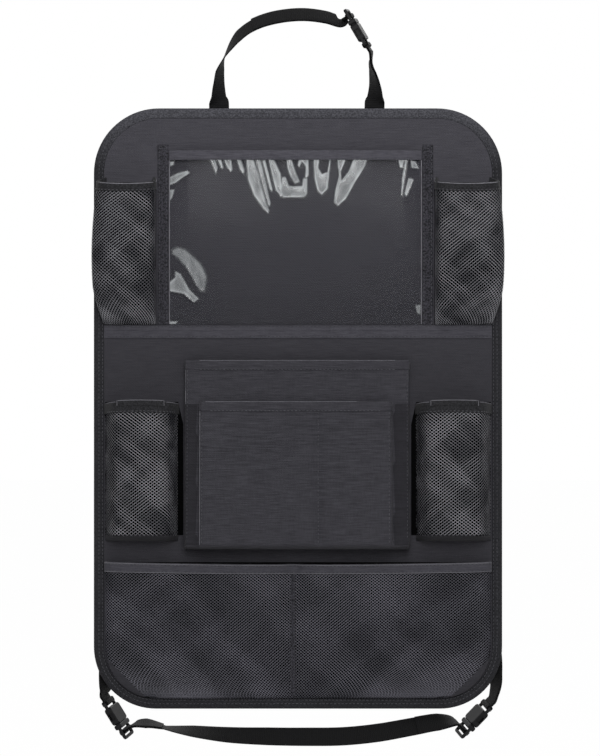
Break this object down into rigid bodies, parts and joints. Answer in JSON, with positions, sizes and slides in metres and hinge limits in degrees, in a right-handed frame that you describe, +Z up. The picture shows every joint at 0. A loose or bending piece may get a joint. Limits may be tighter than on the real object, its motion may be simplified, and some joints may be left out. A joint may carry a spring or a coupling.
{
  "type": "car seat back organizer",
  "caption": "Flat fabric organizer for the back of a car seat, with a clear tablet pocket, net and cloth pockets, and two buckled webbing straps.",
  "frame": {"origin": "centre of the mat's back face, the face that lies on the seat's back", "axes": "+Y out of the mat's back face towards the seat, +Z up the seat's back, +X to the right for someone facing the pockets"},
  "size_m": [0.416, 0.0573, 0.7365],
  "materials": {
    "oxford_cloth": "matte",
    "trim_tape": "matte",
    "netting": "matte",
    "clear_film": "glossy",
    "webbing": "matte",
    "buckle_plastic": "satin"
  },
  "bodies": {
    "mat": {"main_mat": "oxford_cloth", "edge_binding": "trim_tape", "tablet_tape_left": "trim_tape", "tablet_tape_right": "trim_tape", "cross_tape": "trim_tape", "tablet_window": "clear_film", "tablet_hem": "trim_tape", "upper_net_left": "netting", "upper_hem_left": "trim_tape", "upper_net_right": "netting", "upper_hem_right": "trim_tape", "large_pocket": "oxford_cloth", "front_pocket": "oxford_cloth", "side_net_left": "netting", "side_gusset_left": "oxford_cloth", "side_hem_left": "trim_tape", "side_net_right": "netting", "side_gusset_right": "oxford_cloth", "side_hem_right": "trim_tape", "lower_net": "netting", "lower_hem": "trim_tape", "lower_seam": "trim_tape", "headrest_socket": "buckle_plastic", "seat_left_socket": "buckle_plastic", "seat_right_socket": "buckle_plastic", "headrest_strap": "webbing", "strap_tab_top": "webbing", "strap_tab_left": "webbing", "strap_tab_right": "webbing", "seat_strap": "webbing"},
    "headrest_clip": {"headrest_clip": "buckle_plastic"},
    "seat_left_clip": {"seat_left_clip": "buckle_plastic"},
    "seat_right_clip": {"seat_right_clip": "buckle_plastic"}
  },
  "joints": [
    {"name": "headrest_clip_slide", "type": "slide", "parent": "mat", "child": "headrest_clip", "axis": [-0.507, 0, 0.862], "range_m": [0, 0.015], "deforming": ["headrest_strap"]},
    {"name": "seat_left_clip_slide", "type": "slide", "parent": "mat", "child": "seat_left_clip", "axis": [0.525, 0, -0.8511], "range_m": [0, 0.015], "deforming": ["seat_strap"]},
    {"name": "seat_right_clip_slide", "type": "slide", "parent": "mat", "child": "seat_right_clip", "axis": [-0.694, 0, -0.72], "range_m": [0, 0.015], "deforming": ["seat_strap"]}
  ]
}
